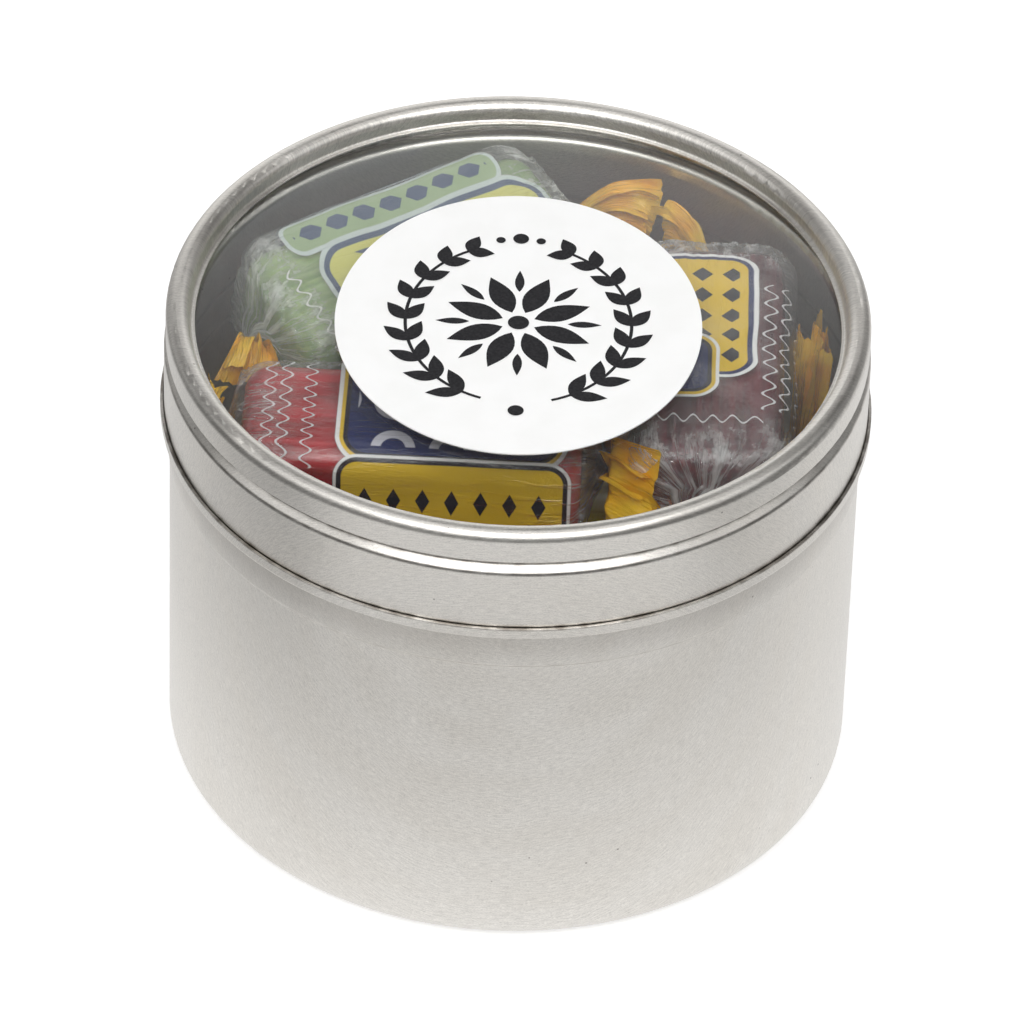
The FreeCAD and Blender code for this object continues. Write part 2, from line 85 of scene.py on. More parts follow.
class Paint:
    """A node material, with short calls for the nodes that the finishes use."""

    def __init__(self, name):
        self.material = bpy.data.materials.new(name)
        self.material.use_nodes = True
        self.tree = self.material.node_tree
        self.tree.nodes.clear()

    def node(self, kind, settings=None, **inputs):
        """A new node.  An input's name has _ where its socket's name has a space."""
        made = self.tree.nodes.new(kind)
        for key, value in (settings or {}).items():
            setattr(made, key, value)
        for key, value in inputs.items():
            self.put(made.inputs[key.replace("_", " ")], value)
        return made

    def put(self, socket, value):
        if isinstance(value, bpy.types.NodeSocket):
            self.tree.links.new(value, socket)
        elif isinstance(value, (tuple, list)) and socket.type == "RGBA" and len(value) == 3:
            socket.default_value = (*value, 1.0)
        else:
            socket.default_value = value

    def math(self, operation, a, b=0.0, c=0.0):
        made = self.node("ShaderNodeMath", {"operation": operation})
        for socket, value in zip(made.inputs, (a, b, c)):
            self.put(socket, value)
        return made.outputs[0]

    def plus(self, a, b):
        return self.math("ADD", a, b)

    def minus(self, a, b):
        return self.math("SUBTRACT", a, b)

    def times(self, a, b):
        return self.math("MULTIPLY", a, b)

    def over(self, a, b):
        return self.math("DIVIDE", a, b)

    def larger(self, a, b):
        return self.math("MAXIMUM", a, b)

    def apart(self, a, b):
        return self.math("ABSOLUTE", self.minus(a, b))

    def length(self, a, b):
        return self.math("SQRT", self.plus(self.times(a, a), self.times(b, b)))

    def ramp(self, value, low, high, to_low=0.0, to_high=1.0):
        """Smooth step from to_low at low to to_high at high."""
        made = self.node("ShaderNodeMapRange", {"interpolation_type": "SMOOTHSTEP"}, Value=value,
                         From_Min=low, From_Max=high, To_Min=to_low, To_Max=to_high)
        return made.outputs["Result"]

    def inside(self, value, limit, soft):
        """1 below the limit and 0 above it, with an edge of half width soft."""
        return self.ramp(value, limit - soft, limit + soft, 1.0, 0.0)

    def blend(self, factor, a, b):
        made = self.node("ShaderNodeMix", {"data_type": "RGBA", "clamp_factor": True})
        for number, value in ((0, factor), (6, a), (7, b)):
            self.put(made.inputs[number], value)
        return made.outputs[2]

    def point(self):
        """Object coordinates in millimetres."""
        coordinates = self.node("ShaderNodeTexCoord").outputs["Object"]
        scaled = self.node("ShaderNodeVectorMath", {"operation": "SCALE"}, Vector=coordinates, Scale=1 / MM)
        return scaled.outputs[0]

    def split(self, vector):
        return self.node("ShaderNodeSeparateXYZ", Vector=vector).outputs[:]

    def vector(self, x, y, z):
        return self.node("ShaderNodeCombineXYZ", X=x, Y=y, Z=z).outputs[0]

    def noise(self, vector, scale, detail=3.0, roughness=0.5):
        made = self.node("ShaderNodeTexNoise", Vector=vector, Scale=scale, Detail=detail, Roughness=roughness)
        return made.outputs["Fac"]

    def streaks(self, a, b, c, detail, roughness=0.5):
        """Noise that is stretched its own way along each axis: a pair is a place and its scale."""
        axes = [self.times(*axis) if isinstance(axis, tuple) else axis for axis in (a, b, c)]
        return self.noise(self.vector(*axes), 1.0, detail, roughness)

    def cells(self, vector, scale):
        """Distance to the nearest of many scattered points."""
        return self.node("ShaderNodeTexVoronoi", Vector=vector, Scale=scale).outputs["Distance"]

    def bump(self, height, strength, distance_mm):
        made = self.node("ShaderNodeBump", Height=height, Strength=strength, Distance=distance_mm * MM)
        return made.outputs["Normal"]

    def attribute(self, name):
        return self.node("ShaderNodeAttribute", {"attribute_name": name}).outputs["Fac"]

    def thin_reflection(self, index, normal):
        """Mirrored share of a thin clear sheet, the same from both sides."""
        behind = self.node("ShaderNodeNewGeometry").outputs["Backfacing"]
        bend = self.math("MULTIPLY_ADD", behind, 1.0 / index - index, index)
        return self.node("ShaderNodeFresnel", IOR=bend, Normal=normal).outputs[0]

    def shader(self, kind, **inputs):
        return self.node(f"ShaderNode{kind}", **inputs).outputs[0]

    def mix_shader(self, factor, a, b):
        made = self.node("ShaderNodeMixShader")
        for socket, value in zip(made.inputs, (factor, a, b)):
            self.put(socket, value)
        return made.outputs[0]

    def add_shader(self, a, b):
        made = self.node("ShaderNodeAddShader")
        for socket, value in zip(made.inputs, (a, b)):
            self.put(socket, value)
        return made.outputs[0]

    def finish(self, shader):
        self.node("ShaderNodeOutputMaterial", Surface=shader)
        return self.material


def add_object(name, vertices, faces, material, body, node=None):
    """A smooth mesh on a body; where node is given, it takes the place of that CAD node."""
    mesh = bpy.data.meshes.new(name)
    mesh.from_pydata(vertices, [], faces)
    mesh.polygons.foreach_set("use_smooth", [True] * len(mesh.polygons))
    piece = bpy.data.objects.new(name, mesh)
    bpy.context.scene.collection.objects.link(piece)
    mesh.materials.append(material)
    if node:
        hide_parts(node)
    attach(piece, body)
    return piece


# Finishes

TIN_DULL, TIN_BRIGHT = (0.745, 0.716, 0.668), (0.792, 0.767, 0.724)
TIN_FLECK = (0.09, 0.075, 0.06)
# Dark brown of the bands that are painted shade below the lid's hem and in the creases, partly real dirt in
# the creases
TIN_DIRT_AND_SHADE = (0.10, 0.075, 0.055)


def tinplate(name, unrolled_from, way, dirt_and_shade_from, dirt_and_shade_at):
    """Bright tinplate with the sheet's rolling grain, drawn round the form.

    The grain runs in straight lines on the flat blank.  A point of the wall came from a blank
    radius that grows with the distance from unrolled_from, counted up or down by way.
    The last argument lists dark bands, each with its height, reach, depth and evenness round the tin:
    painted shade below the lid's hem and in the creases, partly real dirt in the creases. They lie
    outside the radius that the argument before it gives.
    """
    p = Paint(name)
    point = p.point()
    x, y, z = p.split(point)
    radius = p.larger(p.length(x, y), 0.5)
    rise = p.times(p.minus(z, unrolled_from), way)
    blank = p.over(p.plus(radius, rise), radius)
    wander = p.times(p.minus(p.noise(point, 0.10, 2.0), 0.5), 2.4)
    along = p.times(x, blank)
    across = p.plus(p.times(y, blank), wander)
    grain = p.streaks((along, 0.75), (across, 6.5), 0.0, 4.0, 0.7)
    fine = p.streaks((along, 4.0), (across, 17.0), 3.0, 3.0, 0.6)
    cloud = p.streaks((along, 0.05), (across, 0.16), 7.0, 2.0)
    peel = p.noise(point, 4.2, 3.0, 0.6)

    tint = p.blend(p.ramp(cloud, 0.3, 0.7), TIN_DULL, TIN_BRIGHT)
    streak = p.plus(p.ramp(grain, 0.25, 0.75, -0.15, 0.15), p.ramp(fine, 0.25, 0.75, -0.15, 0.15))
    tint = p.node("ShaderNodeHueSaturation", Value=p.plus(1.0, streak), Color=tint).outputs[0]

    # Dark flecks stand in patches
    flecks = p.ramp(p.cells(point, 0.55), 0.035, 0.075, 1.0, 0.0)
    flecked = p.ramp(p.noise(point, 0.09, 1.0), 0.56, 0.6)
    tint = p.blend(p.times(p.times(flecks, flecked), 0.75), tint, TIN_FLECK)

    outside = p.ramp(radius, dirt_and_shade_from - 0.03, dirt_and_shade_from + 0.03)
    patches = p.noise(p.vector(x, y, p.times(z, 0.2)), 0.55, 3.0)
    # Dark bands: painted shade below the lid's hem and in the creases, partly real dirt in the creases
    for height, reach, depth, evenness in dirt_and_shade_at:
        band = p.ramp(p.apart(z, height), 0.0, reach, depth, 0.0)
        dirt_and_shade = p.times(band, p.ramp(patches, 0.35, 0.7, evenness, 1.0))
        tint = p.blend(p.times(dirt_and_shade, outside), tint, TIN_DIRT_AND_SHADE)

    rough = p.plus(p.ramp(grain, 0.2, 0.8, 0.30, 0.40), p.ramp(cloud, 0.3, 0.7, -0.03, 0.04))
    relief = p.plus(p.plus(p.times(grain, 0.5), p.times(fine, 0.35)), p.times(peel, 0.55))
    return p.finish(p.shader("BsdfPrincipled", Base_Color=tint, Metallic=1.0, Roughness=rough,
                             Normal=p.bump(relief, 0.30, 0.045)))


def clear_window():
    """Moulded clear plastic: a thin reflection, a slight milky haze, fine rubs and dust."""
    p = Paint("clear_window")
    point = p.point()
    x, y, z = p.split(point)
    rubs = p.streaks((x, 0.25), (y, 2.0), z, 4.0, 0.7)
    dust = p.ramp(p.cells(point, 0.8), 0.02, 0.06, 1.0, 0.0)
    normal = p.bump(p.noise(point, 0.12, 2.0), 0.25, 0.05)
    rough = p.ramp(rubs, 0.3, 0.8, 0.035, 0.12)
    gloss = p.shader("BsdfGlossy", Color=(1, 1, 1), Roughness=rough, Normal=normal)
    clear = p.shader("BsdfTransparent", Color=(0.985, 0.99, 0.985))
    haze = p.shader("BsdfDiffuse", Color=(0.95, 0.95, 0.93))
    milky = p.plus(p.ramp(rubs, 0.4, 0.8, 0.0012, 0.005), p.times(dust, 0.10))
    return p.finish(p.mix_shader(p.thin_reflection(1.58, normal), p.mix_shader(milky, clear, haze), gloss))


def label_paper():
    p = Paint("label_paper")
    point = p.point()
    fibre = p.noise(point, 5.0, 4.0, 0.65)
    cloud = p.noise(point, 0.25, 2.0)
    tint = p.blend(p.ramp(cloud, 0.3, 0.7), (0.925, 0.925, 0.915), (0.95, 0.95, 0.945))
    rough = p.ramp(fibre, 0.2, 0.8, 0.5, 0.65)
    return p.finish(p.shader("BsdfPrincipled", Base_Color=tint, Roughness=rough,
                             Normal=p.bump(fibre, 0.15, 0.02)))


def label_ink():
    p = Paint("label_ink")
    mottle = p.noise(p.point(), 4.0, 3.0)
    tint = p.blend(p.ramp(mottle, 0.3, 0.75), (0.012, 0.012, 0.014), (0.028, 0.027, 0.03))
    rough = p.ramp(mottle, 0.2, 0.8, 0.42, 0.55)
    return p.finish(p.shader("BsdfPrincipled", Base_Color=tint, Roughness=rough, Specular_IOR_Level=0.15,
                             Normal=p.bump(mottle, 0.1, 0.01)))


def boiled_sugar(name, deep, bright, turn):
    """Glassy boiled sugar with pulled streaks along its length, turn degrees from the X axis."""
    p = Paint(name)
    point = p.point()
    x, y, z = p.split(point)
    c, s = math.cos(math.radians(turn)), math.sin(math.radians(turn))
    along = p.plus(p.times(x, c), p.times(y, s))
    across = p.minus(p.times(y, c), p.times(x, s))
    pulled = p.streaks((along, 0.09), (across, 1.5), (z, 1.5), 4.0, 0.62)
    tone = p.plus(p.times(pulled, 0.65), p.times(p.noise(point, 0.16, 2.0), 0.35))
    tint = p.blend(p.ramp(tone, 0.36, 0.64), deep, bright)
    return p.finish(p.shader("BsdfPrincipled", Base_Color=tint, Roughness=0.22, IOR=1.5,
                             Subsurface_Weight=0.5, Subsurface_Radius=(1.0, 0.55, 0.4),
                             Subsurface_Scale=2.0 * MM, Coat_Weight=0.3, Coat_Roughness=0.1,
                             Normal=p.bump(pulled, 0.3, 0.15)))


# Values that a film's mesh carries: millimetres along and around it, and tail, which goes from
# 0 on the block to 1 on the flared ends
FILM_COLUMNS = ("along", "around", "tail")
BARE_INK = (0.8, 0.8, 0.8)
LINE_INK = (0.86, 0.84, 0.86)
# White of the film's haze, which is partly painted sheen and glints
HAZE_AND_SHEEN_WHITE = (0.92, 0.92, 0.92)
HONEY_DEEP, HONEY_BRIGHT = (0.95, 0.47, 0.012), (0.98, 0.64, 0.045)
PRINT_EDGE = 0.07
MOTIF_EDGE = 0.05


def film_print(p, along, around, zones, lines):
    """Colour of a film's print, and the share of each place that it covers.

    A zone is a rounded panel: its middle and half size along, the same around, its corner, its
    rings of colour from the outside in, and a motif.  A line is fine and white: the way it runs,
    its middle, its ends, its swing and its pitch.
    """
    ink, printed = BARE_INK, 0.0
    for mid_a, half_a, mid_b, half_b, corner, layers, motif in zones:
        off_a, off_b = p.minus(along, mid_a), p.minus(around, mid_b)
        a = p.minus(p.math("ABSOLUTE", off_a), half_a - corner)
        b = p.minus(p.math("ABSOLUTE", off_b), half_b - corner)
        outer = p.length(p.larger(a, 0.0), p.larger(b, 0.0))
        inner = p.math("MINIMUM", p.larger(a, b), 0.0)
        edge = p.minus(p.plus(outer, inner), corner)
        for reach, colour in layers:
            ink = p.blend(p.inside(edge, reach, PRINT_EDGE), ink, colour)
        printed = p.larger(printed, p.inside(edge, layers[0][0], PRINT_EDGE))

        kind, colour, step_a, step_b, share = motif
        cell_a = p.over(p.math("PINGPONG", off_a, step_a), step_a)
        cell_b = p.over(p.math("PINGPONG", off_b, step_b), step_b)
        if kind == "lozenges":
            mark = p.inside(p.plus(cell_a, cell_b), share, MOTIF_EDGE)
        elif kind == "waves":
            swing = p.times(p.math("SINE", p.times(along, 1.1)), 0.35)
            mark = p.inside(p.math("PINGPONG", p.plus(cell_b, swing), 0.5), share, MOTIF_EDGE)
        else:
            mark = p.ramp(p.apart(p.length(cell_a, cell_b), share), 0.13, 0.19, 1.0, 0.0)
        ink = p.blend(p.times(mark, p.ramp(edge, -0.75, -0.6, 1.0, 0.0)), ink, colour)

    for way, middle, low, high, swing, pitch in lines:
        run, off = (along, around) if way == "along" else (around, along)
        bend = p.times(p.math("SINE", p.times(run, math.tau / pitch)), swing)
        away = p.apart(p.minus(off, middle), bend)
        within = p.times(p.ramp(run, low, low + 0.1), p.ramp(run, high, high + 0.1, 1.0, 0.0))
        mark = p.times(p.ramp(away, 0.07, 0.17, 0.75, 0.0), within)
        ink = p.blend(mark, ink, LINE_INK)
        printed = p.larger(printed, mark)
    return ink, printed


def printed_film(name, seed, haze, end_mist_and_glints, zones, lines):
    """Clear twist film with printed panels, and yellow twisted ends."""
    p = Paint(name)
    along, around, tail = [p.attribute(column) for column in FILM_COLUMNS]

    # Crinkles: creases along the sweet, and crumples where the film is gathered
    gathered = p.ramp(p.math("ABSOLUTE", along), 9.5, 15.5)
    run = p.streaks((along, 0.09), (around, 0.55), seed, 4.0, 0.6)
    crease = p.ramp(p.apart(run, 0.5), 0.0, 0.05, 1.0, 0.0)
    crumple = p.streaks((along, 0.42), (around, 0.42), seed, 5.0, 0.66)
    soft = p.noise(p.point(), 0.35, 3.0)
    relief = p.plus(p.times(crease, p.plus(p.times(gathered, 0.7), 0.14)),
                    p.times(crumple, p.plus(p.times(gathered, 2.2), 0.5)))
    normal = p.bump(relief, 0.6, 0.32)

    # The film over the block: clear and printed, and white where it is gathered, on the creases there and in
    # soft patches. The white is partly milky haze and partly painted sheen and glints that stand in for
    # reflections.
    mist_and_glints = p.times(p.ramp(crumple, 0.42, 0.70, 0.03, end_mist_and_glints), gathered)
    # Soft white patches over the block and glints on the gathered creases: partly milky haze, partly painted
    # sheen
    white_haze_and_sheen = p.plus(p.plus(mist_and_glints, p.ramp(soft, 0.4, 0.75, 0.4 * haze, 1.6 * haze)),
                  p.times(crease, p.times(gathered, 0.25)))
    milky = p.mix_shader(0.4, p.shader("BsdfDiffuse", Color=HAZE_AND_SHEEN_WHITE, Normal=normal),
                         p.shader("BsdfTranslucent", Color=HAZE_AND_SHEEN_WHITE, Normal=normal))
    clear = p.mix_shader(white_haze_and_sheen, p.shader("BsdfTransparent", Color=(0.97, 0.97, 0.97)), milky)
    ink, printed = film_print(p, along, around, zones, lines)
    block = p.mix_shader(p.times(printed, 0.92), clear, p.shader("BsdfDiffuse", Color=ink, Normal=normal))

    # The twisted ends: yellow, and only a little see-through
    honey = p.blend(p.ramp(soft, 0.3, 0.7), HONEY_DEEP, HONEY_BRIGHT)
    yellow = p.mix_shader(0.86, p.shader("BsdfTranslucent", Color=honey, Normal=normal),
                          p.shader("BsdfDiffuse", Color=honey, Normal=normal))
    yellow = p.mix_shader(0.03, yellow, p.shader("BsdfTransparent", Color=(0.98, 0.78, 0.25)))
    body = p.mix_shader(p.ramp(tail, 0.40, 0.62), block, yellow)
    gloss = p.shader("BsdfGlossy", Color=(1, 1, 1), Roughness=0.07, Normal=normal)
    return p.finish(p.mix_shader(p.thin_reflection(1.55, normal), body, gloss))


# Twist wrappers

# Steps of a wrapper's mesh: round the film, along half of it, across a tail and along a tail
FINE_STEPS = (120, 46, 64, 30)
PLAIN_STEPS = (64, 22, 26, 12)
# Film over the block: where it starts to gather and is gathered, where it starts to twist, its
# turn at the end in radians, and how far it sags everywhere, between pleats and between wrinkles
GATHER_FROM, GATHER_TO = 6.5, 16.5
TWIST_FROM = 14.5
END_TURN = 0.9
SAG, PLEAT_SAG, WRINKLE_SAG = 0.16, 0.34, 0.26
NECK_STEPS = 6
NECK_TWIST = 1.3
NECK_PINCH = NECK_R * 0.62 / 2.9
# Sheets of a tail: turn about the tail in radians, share of its length, phase of the folds
BUNCH_SHEETS = ((0.0, 1.0, 0.3), (0.5, 0.95, 2.3), (-0.5, 0.9, 4.1), (1.4, 0.86, 1.2))
# A sheet: folds across it, their share of the room, that of its crumples, its ragged edge, the
# teeth of that edge and their depth, and the share of its length at which it is open
SHEET_FOLDS, FOLD_SHARE, CRUMPLE_SHARE = 1.5, 0.42, 0.3
RAGGED, TEETH, TOOTH = 0.08, 10.0, 0.02
OPEN_AT = 0.55
NECK_DEPTH = 0.5
# Bunches of a tail: half depth, swell of its middle, lean of its upper edge, length beyond its route
NO_SHIFT = (0, 0, 0)
PLAIN_BUNCH = (0.8, NO_SHIFT, NO_SHIFT, 0.0)
STANDING_BUNCH = (1.9, NO_SHIFT, NO_SHIFT, 3.4)


def smooth_step(low, high, value):
    t = min(1.0, max(0.0, (value - low) / (high - low)))
    return t * t * (3 - 2 * t)


def ridge(x, y, z):
    """Sharp ridges at 1, flat hollows towards 0."""
    return 1.0 - min(1.0, abs(noise.noise(Vector((x, y, z)))) * 2.2)


def block_section(count):
    """Points round the film over the block: (y, z, distance round from the middle of the top)."""
    flat, tall, arc = FILM_WIDE - FILM_ROUND, FILM_HIGH - FILM_ROUND, FILM_ROUND * math.pi / 2
    whole = 4 * (flat + tall + arc)
    points = []
    for i in range(count):
        signed = whole * (i / count - 0.5)
        s = abs(signed)
        side = -1 if signed > 0 else 1
        if s < flat:
            y, z = s, FILM_HIGH
        elif s < flat + arc:
            a = (s - flat) / FILM_ROUND
            y, z = flat + FILM_ROUND * math.sin(a), tall + FILM_ROUND * math.cos(a)
        elif s < flat + arc + 2 * tall:
            y, z = FILM_WIDE, tall - (s - flat - arc)
        elif s < flat + 2 * arc + 2 * tall:
            a = (s - flat - arc - 2 * tall) / FILM_ROUND
            y, z = flat + FILM_ROUND * math.cos(a), -tall - FILM_ROUND * math.sin(a)
        else:
            y, z = flat - (s - flat - 2 * arc - 2 * tall), -FILM_HIGH
        points.append((side * y, z, signed))
    return points


def pillow_share(distance):
    """Share of the full section at a distance from the middle of the sweet."""
    steps = [(HALF_LONG - 1.5 * SWEET_ROUND, 1.0), (HALF_LONG - 0.75 * SWEET_ROUND, 0.985),
             (HALF_LONG - 0.2 * SWEET_ROUND, 0.94), (HALF_LONG + 0.15 * SWEET_ROUND, 0.86), (FILM_END, 0.48)]
    if distance <= steps[0][0]:
        return 1.0
    for (a, low), (b, high) in zip(steps, steps[1:]):
        if distance <= b:
            return low + (high - low) * (distance - a) / (b - a)
    return steps[-1][1]


def tail_route(side, bends, roll, spread):
    """Frames along a tail from its neck: (point, level, lift, half width).

    A bend is a yaw and a pitch in degrees, and a length in tail lengths.
    """
    outward = Vector((side, 0, 0))
    straight = Matrix.Rotation(0 if side > 0 else math.pi, 3, "Z")

    def heading_of(bend):
        yaw, pitch = math.radians(bend[0]), math.radians(bend[1])
        turn = Matrix.Rotation(yaw, 3, "Z") @ Matrix.Rotation(-pitch, 3, "Y")
        return straight @ turn @ Vector((1, 0, 0))

    here = outward * (FILM_END + NECK_LENGTH)
    route = [(here, outward, NECK_R * 0.8)]
    reach = sum(bend[2] for bend in bends)
    done = 0.0
    for i, bend in enumerate(bends):
        heading = heading_of(bend)
        here = here + heading * (bend[2] * TAIL_LENGTH)
        done += bend[2] / reach
        facing = heading
        if i + 1 < len(bends):
            facing = (heading + heading_of(bends[i + 1])).normalized()
        route.append((here, facing, NECK_R + (TAIL_HALF * spread - NECK_R) * done))
    frames = []
    for point, facing, wide in route:
        level = Vector((0, 0, 1)).cross(facing).normalized()
        spin = Matrix.Rotation(math.radians(roll), 3, facing)
        frames.append((point, spin @ level, spin @ facing.cross(level), wide))
    return frames


def along_route(frames, t):
    """The frame at a share t of the way along a tail, blended between the route's frames."""
    legs = len(frames) - 1
    leg = min(int(t * legs), legs - 1)
    f = t * legs - leg
    a, b = frames[leg], frames[leg + 1]
    blended = [u.lerp(v, f) for u, v in zip(a[:3], b[:3])]
    return (*blended, a[3] + (b[3] - a[3]) * f)


class FilmMesh:
    """Vertices in millimetres, faces, and a row of the film's columns for each vertex."""

    def __init__(self):
        self.vertices, self.faces, self.rows = [], [], []

    def add_line(self, points, rows):
        start = len(self.vertices)
        self.vertices.extend(points)
        self.rows.extend(rows)
        return start

    def join(self, a, b, count, closed):
        for i in range(count if closed else count - 1):
            n = (i + 1) % count
            self.faces.append((a + i, a + n, b + n, b + i))


def add_pillow(film, section, half_stations, seed, puff):
    """The film over the block, gathered towards its ends.  Returns its end rings by side.

    puff is how far the film stands out at the far side.
    """
    previous = None
    ends = {}
    for station in range(-half_stations, half_stations + 1):
        x = FILM_END * math.sin(math.pi / 2 * station / half_stations)
        share = pillow_share(abs(x))
        gathered = smooth_step(GATHER_FROM, GATHER_TO, abs(x))
        tight = smooth_step(TWIST_FROM, FILM_END, abs(x))
        ring, rows = [], []
        for y, z, signed in section:
            swirl = math.atan2(z, y) + END_TURN * tight * (1 if x > 0 else -1)
            c, s = math.cos(swirl), math.sin(swirl)
            broad = ridge(c * 2.6 + seed, s * 2.6, x * 0.05)
            narrow = ridge(c * 6.0, s * 6.0 + seed, x * 0.08)
            pleat = broad * 0.6 + narrow * 0.4
            wrinkle = ridge(x * 0.16 + seed * 3.1, signed * 0.13 + x * 0.05, seed)
            sag = SAG + PLEAT_SAG * gathered * (1.0 - pleat)
            sag += WRINKLE_SAG * (1.0 - gathered) * (1.0 - wrinkle) ** 1.5
            shrink = share * (1.0 - sag / math.hypot(y, z)) - 0.16 * tight * (1.0 - pleat)
            loose = puff * smooth_step(2.0, 7.0, y) * smooth_step(FILM_END, 13.0, abs(x))
            ring.append((x, y * shrink + loose, z * shrink))
            rows.append((x, signed, 0.0))
        start = film.add_line(ring, rows)
        if previous is not None:
            film.join(previous, start, len(section), True)
        previous = start
        if abs(station) == half_stations:
            ends[1 if x > 0 else -1] = (start, ring)
    return ends


def add_neck(film, section, side, first, ring, seed):
    """The twisted neck that goes on from an end ring."""
    previous = first
    for step in range(1, NECK_STEPS + 1):
        t = step / NECK_STEPS
        x = side * (FILM_END + NECK_LENGTH * t)
        pinch = 1.0 - t * (1.0 - NECK_PINCH)
        c, s = math.cos(side * t * NECK_TWIST), math.sin(side * t * NECK_TWIST)
        made, rows = [], []
        for (_, y, z), (_, _, signed) in zip(ring, section):
            pleat = 1.0 + 0.16 * t * math.sin(9 * math.atan2(z, y) + seed)
            made.append((x, (y * c - z * s) * pinch * pleat, (y * s + z * c) * pinch * pleat))
            rows.append((x, signed, 0.45 * t))
        start = film.add_line(made, rows)
        a, b = (previous, start) if side > 0 else (start, previous)
        film.join(a, b, len(section), True)
        previous = start


def add_bunch(film, frames, side, bunch, across, lengthwise, seed):
    """The tail: a bunch of folded sheets that fan out of the neck."""
    deep, swell, lean, longer = bunch
    heading = (frames[-1][0] - frames[-2][0]).normalized()
    for layer, (spin, reach, phase) in enumerate(BUNCH_SHEETS):
        c, s = math.cos(spin), math.sin(spin)
        folds = SHEET_FOLDS + 0.4 * noise.noise(Vector((seed, layer, 0.5)))
        previous = None
        for k in range(lengthwise + 1):
            t = k / lengthwise
            made, rows = [], []
            for i in range(across + 1):
                a = 2 * i / across - 1
                uneven = RAGGED * noise.noise(Vector((a * 1.7 + phase, seed, layer)))
                pinked = TOOTH * abs((a * TEETH) % 2.0 - 1.0)
                f = t * (reach + uneven - pinked)
                point, level, lift, wide = along_route(frames, min(f, 1.0))
                opened = smooth_step(0.0, OPEN_AT, f)
                depth = NECK_DEPTH + (deep - NECK_DEPTH) * opened
                half = 1.0 / math.hypot(c / wide, s / depth)
                flat = level * c + lift * s
                rise = lift * c - level * s
                drift = 0.4 * noise.noise(Vector((a * 0.9, t * 1.2, seed + layer)))
                wave = math.asin(math.sin(math.pi * (folds * a + drift) + phase)) * 2 / math.pi
                crumple = ridge(a * 1.5 + seed, t * 1.4, phase) - 0.5
                room = depth if abs(spin) < 0.8 else wide * 0.35
                place = point + flat * (a * half * (1.0 - 0.12 * abs(wave)))
                place += rise * (FOLD_SHARE * room * wave + CRUMPLE_SHARE * opened * room * crumple)
                place += Vector(swell) * math.sin(math.pi * min(f, 1.0) * 0.75)
                place += Vector(lean) * (smooth_step(-1.0, 1.0, a * c) * opened)
                place += heading * (longer * smooth_step(0.4, 1.0, f))
                made.append(place)
                shown = 0.45 + 0.55 * smooth_step(0.0, 0.2, f)
                rows.append((side * (FILM_END + NECK_LENGTH + f * TAIL_LENGTH), a * 5.0, shown))
            start = film.add_line(made, rows)
            if previous is not None:
                film.join(previous, start, across + 1, False)
            previous = start


def add_wrapper(name, spot, spin, tails, bunches, puff, material, seed, steps):
    """One wrapper: pillow, gathered ends, twisted necks and pleated tails."""
    around, half_stations, across, lengthwise = steps
    film = FilmMesh()
    section = block_section(around)
    ends = add_pillow(film, section, half_stations, seed, puff)
    for side, tail, bunch in zip((-1, 1), tails, bunches):
        add_neck(film, section, side, *ends[side], seed)
        add_bunch(film, tail_route(side, *tail), side, bunch, across, lengthwise, seed)
    place = Matrix.Translation(Vector(spot) * MM) @ spin.to_4x4()
    placed = [place @ (Vector(v) * MM) for v in film.vertices]
    piece = add_object(f"{name}_film", placed, film.faces, material, "sweets",
                       f"{name}_wrapper")
    for number, column in enumerate(FILM_COLUMNS):
        layer = piece.data.attributes.new(column, "FLOAT", "POINT")
        layer.data.foreach_set("value", [row[number] for row in film.rows])


# Label print

SPRAY_WIDE, SPRAY_TALL = 10.6, 11.8
STEM_HALF = 0.16
LEAF_STEPS = 10
STEM_STEPS = 40
DOT_STEPS = 24
# Dots of the print: middle and radius
DOTS = ((0, 12.6, 0.75), (-1.9, 12.3, 0.45), (1.9, 12.3, 0.45), (0, -12.9, 0.75), (0, 0, 1.0))
# The print lies a little over the paper, and each shape a little over the one before
PRINT_LIFT = 0.010
SHAPE_LIFT = 0.0006


def round_spot(reach, angle):
    return (reach * math.cos(angle), reach * math.sin(angle))


def leaf(start, angle, length, width):
    """Outline of a pointed leaf."""
    outline = []
    c, s = math.cos(angle), math.sin(angle)
    for side in (1, -1):
        for k in range(LEAF_STEPS):
            t = k / LEAF_STEPS if side > 0 else 1 - k / LEAF_STEPS
            x, y = length * t, side * width / 2 * math.sin(math.pi * t ** 0.85)
            outline.append((start[0] + x * c - y * s, start[1] + x * s + y * c))
    return outline


def rosette():
    """Outlines of eight petals and the small leaves between them."""
    shapes = []
    for k in range(8):
        angle = math.pi / 4 * k + math.pi / 8
        between = angle + math.pi / 8
        shapes.append(leaf(round_spot(1.6, angle), angle, 5.6, 2.3))
        shapes.append(leaf(round_spot(4.6, between), between, 3.2, 0.9))
    return shapes


def spray(side):
    """Outlines of a curved stem and its pairs of leaves."""
    stem_out, stem_in = [], []
    for k in range(STEM_STEPS + 1):
        angle = math.radians(-72 + 138 * k / STEM_STEPS)
        for stem, reach in ((stem_out, STEM_HALF), (stem_in, -STEM_HALF)):
            x, y = (SPRAY_WIDE + reach) * math.cos(angle), (SPRAY_TALL + reach) * math.sin(angle)
            stem.append((side * x, y))
    shapes = [stem_out + stem_in[::-1]]
    for k in range(9):
        angle = math.radians(-62 + 15.5 * k)
        spot = (side * SPRAY_WIDE * math.cos(angle), SPRAY_TALL * math.sin(angle))
        way = math.atan2(SPRAY_TALL * math.cos(angle), -side * SPRAY_WIDE * math.sin(angle))
        for lean in (0.62, -0.62):
            shapes.append(leaf(spot, way + lean, 3.5 - 0.12 * k, 1.45))
    return shapes


